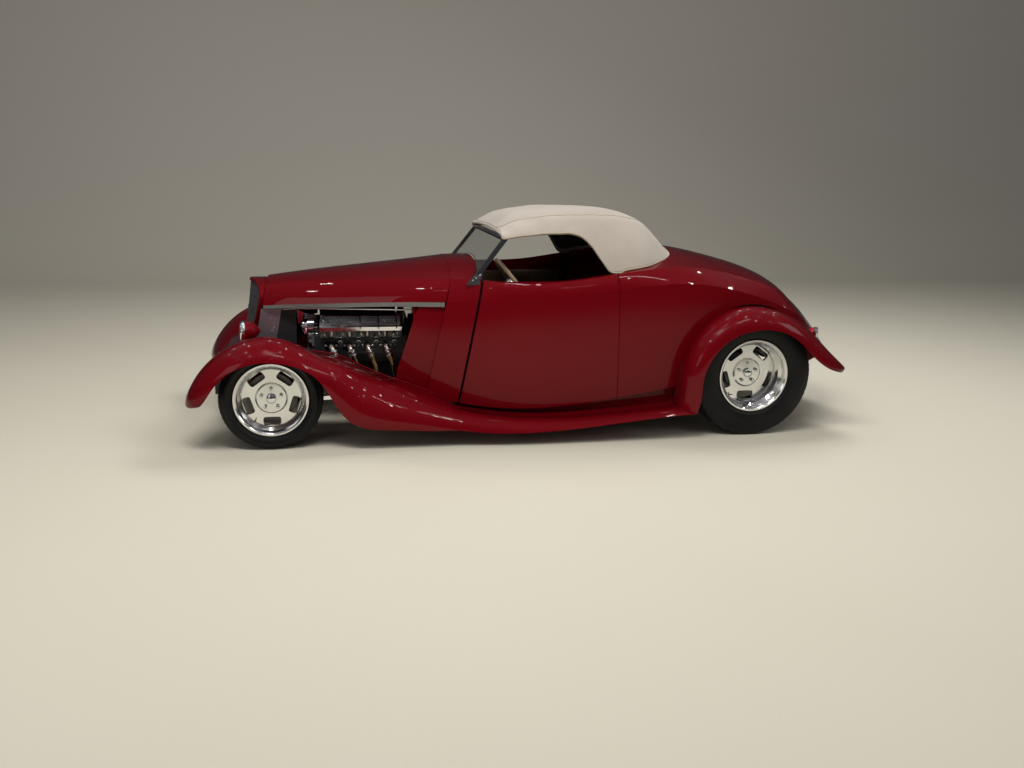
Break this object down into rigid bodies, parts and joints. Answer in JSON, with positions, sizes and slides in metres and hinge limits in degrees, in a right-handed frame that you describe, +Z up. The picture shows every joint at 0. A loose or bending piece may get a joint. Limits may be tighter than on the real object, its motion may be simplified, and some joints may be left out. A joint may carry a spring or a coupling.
{
  "type": "street rod roadster",
  "caption": "Low full-fendered two-seat roadster with padded soft top, open hood sides, opening doors and lids and steered front wheels.",
  "frame": {"origin": "centre of the footprint on the floor, midway between the front fender tips and the tail", "axes": "-X to the front of the car, -Y to its left side, +Z up"},
  "size_m": [4.1521, 1.7372, 1.3399],
  "materials": {
    "accessory_drive": "bright plate",
    "cowl": "deep gloss candy red",
    "dashboard": "deep gloss candy red",
    "deck_lid": "deep gloss candy red",
    "door_left": "deep gloss candy red",
    "door_right": "deep gloss candy red",
    "engine_block": "cast and polished",
    "exhaust_headers": "heat-tinted coated tube",
    "exhaust_pipes": "heat-tinted coated tube",
    "fan": "black",
    "fender_front_left": "deep gloss candy red",
    "fender_front_right": "deep gloss candy red",
    "fender_rear_left": "deep gloss candy red",
    "fender_rear_right": "deep gloss candy red",
    "floor_pan": "satin black",
    "frame": "satin black",
    "front_apron": "deep gloss candy red",
    "front_axle": "bright plate",
    "fuel_tank": "black",
    "glazing": "clear",
    "grille_bars": "dark grey",
    "grille_shell": "deep gloss candy red",
    "headlight_buckets": "deep gloss candy red",
    "headlight_lenses": "clear fluted",
    "hood_top": "deep gloss candy red",
    "knuckle_left": "heat-tinted coated tube",
    "knuckle_right": "heat-tinted coated tube",
    "radiator": "polished alloy",
    "rear_axle": "satin black",
    "rear_body": "deep gloss candy red",
    "rim_front_left": "polished alloy",
    "rim_front_right": "polished alloy",
    "rim_rear_left": "polished alloy",
    "rim_rear_right": "polished alloy",
    "running_board_left": "deep gloss candy red",
    "running_board_right": "deep gloss candy red",
    "seat": "tan hide",
    "soft_top": "tan padded cloth",
    "steering_column": "bright plate",
    "steering_wheel": "tan hide",
    "tail_lamps": "red",
    "tyre_front_left": "plain black tyre",
    "tyre_front_right": "plain black tyre",
    "tyre_rear_left": "plain black tyre",
    "tyre_rear_right": "plain black tyre",
    "valve_covers": "polished alloy",
    "windshield_frame": "bright plate"
  },
  "bodies": {
    "chassis": {"accessory_drive": "accessory_drive", "cowl": "cowl", "dashboard": "dashboard", "engine_block": "engine_block", "exhaust_headers": "exhaust_headers", "exhaust_pipes": "exhaust_pipes", "fan": "fan", "fender_front_left": "fender_front_left", "fender_front_right": "fender_front_right", "fender_rear_left": "fender_rear_left", "fender_rear_right": "fender_rear_right", "floor_pan": "floor_pan", "frame": "frame", "front_apron": "front_apron", "front_axle": "front_axle", "fuel_tank": "fuel_tank", "glazing": "glazing", "grille_bars": "grille_bars", "grille_shell": "grille_shell", "headlight_buckets": "headlight_buckets", "headlight_lenses": "headlight_lenses", "radiator": "radiator", "rear_axle": "rear_axle", "rear_body": "rear_body", "running_board_left": "running_board_left", "running_board_right": "running_board_right", "seat": "seat", "soft_top": "soft_top", "steering_column": "steering_column", "tail_lamps": "tail_lamps", "valve_covers": "valve_covers", "windshield_frame": "windshield_frame"},
    "door_l": {"door_left": "door_left"},
    "door_r": {"door_right": "door_right"},
    "lid": {"deck_lid": "deck_lid"},
    "hood": {"hood_top": "hood_top"},
    "knuckle_l": {"knuckle_left": "knuckle_left"},
    "knuckle_r": {"knuckle_right": "knuckle_right"},
    "wheel_fl": {"rim_front_left": "rim_front_left", "tyre_front_left": "tyre_front_left"},
    "wheel_fr": {"rim_front_right": "rim_front_right", "tyre_front_right": "tyre_front_right"},
    "wheel_rl": {"rim_rear_left": "rim_rear_left", "tyre_rear_left": "tyre_rear_left"},
    "wheel_rr": {"rim_rear_right": "rim_rear_right", "tyre_rear_right": "tyre_rear_right"},
    "steering": {"steering_wheel": "steering_wheel"}
  },
  "joints": [
    {"name": "steer_left", "type": "hinge", "parent": "chassis", "child": "knuckle_l", "pos_m": [-1.6148, -0.56, 0.288], "axis": [0, 0, 1], "range_deg": [-25, 25]},
    {"name": "steer_right", "type": "hinge", "parent": "chassis", "child": "knuckle_r", "pos_m": [-1.6148, 0.56, 0.288], "axis": [0, 0, 1], "range_deg": [-25, 25]},
    {"name": "steering_wheel_turn", "type": "hinge", "parent": "chassis", "child": "steering", "pos_m": [-0.1798, -0.33, 0.891], "axis": [0.794, 0, 0.608], "range_deg": [-400, 400]},
    {"name": "spin_front_left", "type": "hinge", "parent": "knuckle_l", "child": "wheel_fl", "pos_m": [-1.6148, -0.63, 0.288], "axis": [0, 1, 0], "continuous": true},
    {"name": "spin_front_right", "type": "hinge", "parent": "knuckle_r", "child": "wheel_fr", "pos_m": [-1.6148, 0.63, 0.288], "axis": [0, 1, 0], "continuous": true},
    {"name": "spin_rear_left", "type": "hinge", "parent": "chassis", "child": "wheel_rl", "pos_m": [1.2302, -0.66, 0.371], "axis": [0, 1, 0], "continuous": true},
    {"name": "spin_rear_right", "type": "hinge", "parent": "chassis", "child": "wheel_rr", "pos_m": [1.2302, 0.66, 0.371], "axis": [0, 1, 0], "continuous": true},
    {"name": "door_left_hinge", "type": "hinge", "parent": "chassis", "child": "door_l", "pos_m": [0.3942, -0.714, 0.6], "axis": [0, 0, 1], "range_deg": [0, 65]},
    {"name": "door_right_hinge", "type": "hinge", "parent": "chassis", "child": "door_r", "pos_m": [0.3942, 0.714, 0.6], "axis": [0, 0, -1], "range_deg": [0, 65]},
    {"name": "deck_lid_hinge", "type": "hinge", "parent": "chassis", "child": "lid", "pos_m": [0.9822, 0, 1.082], "axis": [0, -1, 0], "range_deg": [0, 45]},
    {"name": "hood_hinge", "type": "hinge", "parent": "chassis", "child": "hood", "pos_m": [-1.6508, 0, 0.908], "axis": [0, -1, 0], "range_deg": [0, 40]}
  ],
  "couplings": [
    {"joint": "steer_right", "follows": "steer_left", "ratio": 1},
    {"joint": "steering_wheel_turn", "follows": "steer_left", "ratio": 16}
  ]
}
